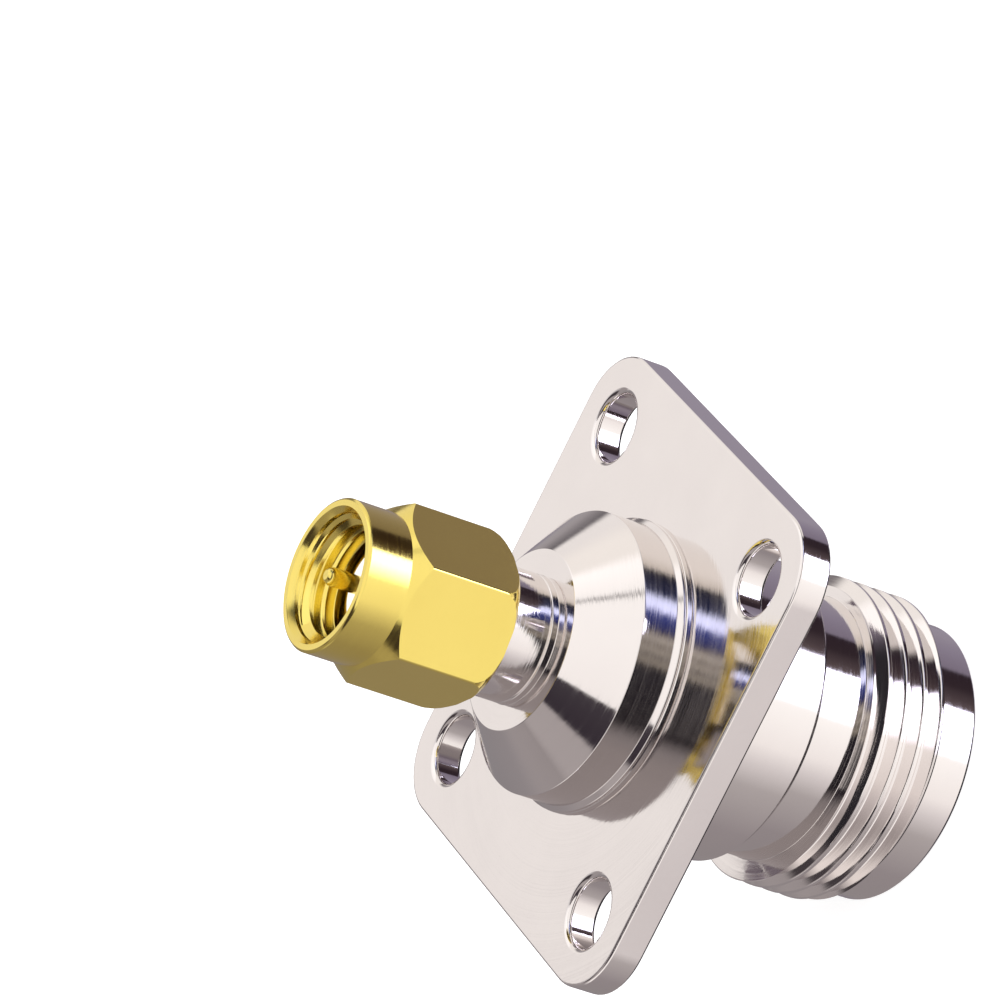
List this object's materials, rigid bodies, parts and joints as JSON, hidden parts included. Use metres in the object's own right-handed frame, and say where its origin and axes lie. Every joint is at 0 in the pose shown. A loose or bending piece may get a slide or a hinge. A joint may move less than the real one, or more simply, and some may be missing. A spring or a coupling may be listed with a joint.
{
  "type": "coaxial adapter",
  "caption": "Coaxial adapter with a square panel flange: large threaded socket behind it, cone and slim neck in front, ending in a captive hexagonal coupling nut with a centre pin.",
  "frame": {"origin": "centre of the flange's front face, on the common axis", "axes": "+Z along the common axis towards the coupling nut; X and Y parallel to the flange's sides"},
  "size_m": [0.0254, 0.0254, 0.0333],
  "materials": {
    "nickel": "bright nickel plating on brass",
    "gold": "satin gold plating on brass",
    "spring_bronze": "bare spring bronze",
    "gasket": "matt silicone rubber",
    "insulator": "white fluoropolymer"
  },
  "bodies": {
    "adapter_body": {"flange_shell": "nickel", "rear_shell": "nickel", "sma_ferrule": "gold", "snap_ring": "spring_bronze", "sma_gasket": "gasket", "sma_insulator": "insulator", "socket_insulator": "insulator", "sma_pin": "gold", "socket_contact": "gold"},
    "nut": {"coupling_nut": "gold"}
  },
  "joints": [
    {"name": "nut_spin", "type": "hinge", "parent": "adapter_body", "child": "nut", "pos_m": [0, 0, 0.0117], "axis": [0, 0, 1], "continuous": true}
  ]
}
